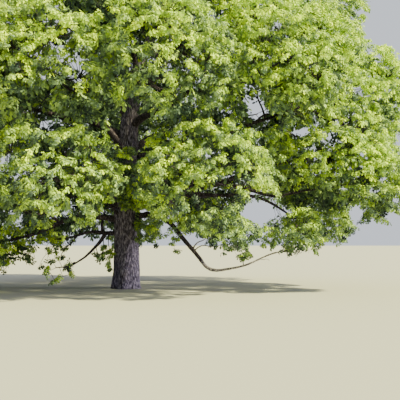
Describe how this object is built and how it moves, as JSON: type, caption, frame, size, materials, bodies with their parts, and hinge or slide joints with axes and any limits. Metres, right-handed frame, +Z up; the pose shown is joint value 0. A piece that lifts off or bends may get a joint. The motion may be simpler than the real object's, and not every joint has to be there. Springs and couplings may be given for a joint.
{
  "type": "oak tree",
  "caption": "Broad open-grown oak tree in early-summer leaf, with a stout flared trunk, long spreading boughs, one sweeping low, and a wide rounded crown.",
  "frame": {"origin": "middle of the flat cut under the trunk, at ground level", "axes": "+Z up from the ground; +X to the right and +Y away from the viewer in the view of the picture"},
  "size_m": [28.3061, 25.5018, 19.7379],
  "materials": {
    "bark": "rough, deeply furrowed grey-brown bark",
    "leaves": "thin fresh green leaves, soft sheen"
  },
  "bodies": {
    "root": {"trunk": "bark", "bough_back_high": "bark", "bough_back_left": "bark", "bough_back_left_high": "bark", "bough_back_right": "bark", "bough_back_right_high": "bark", "bough_front": "bark", "bough_front_high": "bark", "bough_front_middle": "bark", "bough_front_right": "bark", "bough_front_right_droop": "bark", "bough_front_right_high": "bark", "bough_leader_left": "bark", "bough_left_back": "bark", "bough_left_front": "bark", "bough_left_front_high": "bark", "bough_left_hanging": "bark", "bough_left_high": "bark", "bough_left_low": "bark", "bough_left_sweep": "bark", "bough_low_sweep": "bark", "bough_low_sweep_end": "bark", "bough_right_droop": "bark", "bough_right_high": "bark", "bough_right_main": "bark", "bough_right_sag": "bark", "bough_upper_back": "bark", "bough_upper_front": "bark", "bough_upper_left": "bark", "bough_upper_right": "bark", "foliage_back_high": "leaves", "foliage_back_left": "leaves", "foliage_back_left_high": "leaves", "foliage_back_right": "leaves", "foliage_back_right_high": "leaves", "foliage_front": "leaves", "foliage_front_high": "leaves", "foliage_front_middle": "leaves", "foliage_front_right": "leaves", "foliage_front_right_droop": "leaves", "foliage_front_right_high": "leaves", "foliage_leader_left": "leaves", "foliage_leader_right": "leaves", "foliage_left_back": "leaves", "foliage_left_front": "leaves", "foliage_left_front_high": "leaves", "foliage_left_hanging": "leaves", "foliage_left_high": "leaves", "foliage_left_low": "leaves", "foliage_left_sweep": "leaves", "foliage_low_sweep_end": "leaves", "foliage_right_droop": "leaves", "foliage_right_high": "leaves", "foliage_right_main": "leaves", "foliage_right_sag": "leaves", "foliage_trunk_front": "leaves", "foliage_upper_back": "leaves", "foliage_upper_front": "leaves", "foliage_upper_left": "leaves", "foliage_upper_right": "leaves"}
  },
  "joints": []
}
